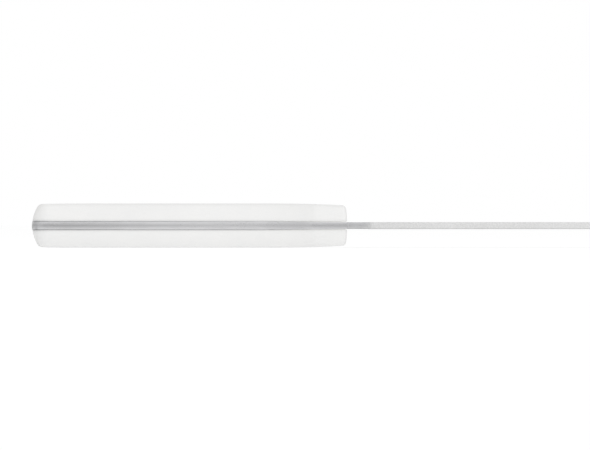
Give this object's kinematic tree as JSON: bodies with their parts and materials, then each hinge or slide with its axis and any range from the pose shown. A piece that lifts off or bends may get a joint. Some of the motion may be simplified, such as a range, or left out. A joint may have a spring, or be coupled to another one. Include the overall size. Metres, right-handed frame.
{
  "type": "flat knife sharpening steel",
  "caption": "Flat full-tang sharpening steel: an abrasive-coated bar with a bare neck and rounded tip, held between white contoured handle scales that are riveted and have a lined hanging hole.",
  "frame": {"origin": "bottom centre of the whole steel's bounding box, on the surface it lies on", "axes": "+X along the steel from the butt to the tip, +Z through its thickness, +Y across its width; it lies on the flat of its lower scale"},
  "size_m": [0.3784, 0.0302, 0.0165],
  "materials": {
    "ground_steel": "ground and lightly polished",
    "abrasive": "fine matte grit",
    "white_scale": "satin",
    "bond_resin": "dull",
    "rivet_steel": "ground flush",
    "tube_steel": "drawn"
  },
  "bodies": {
    "root": {"steel_bar": "ground_steel", "abrasive_coating": "abrasive", "upper_scale": "white_scale", "lower_scale": "white_scale", "bond_film_upper": "bond_resin", "bond_film_lower": "bond_resin", "rivet_sleeve_rear": "rivet_steel", "rivet_sleeve_middle": "rivet_steel", "rivet_sleeve_front": "rivet_steel", "rivet_pin_rear": "rivet_steel", "rivet_pin_middle": "rivet_steel", "rivet_pin_front": "rivet_steel", "hang_tube": "tube_steel"}
  },
  "joints": []
}
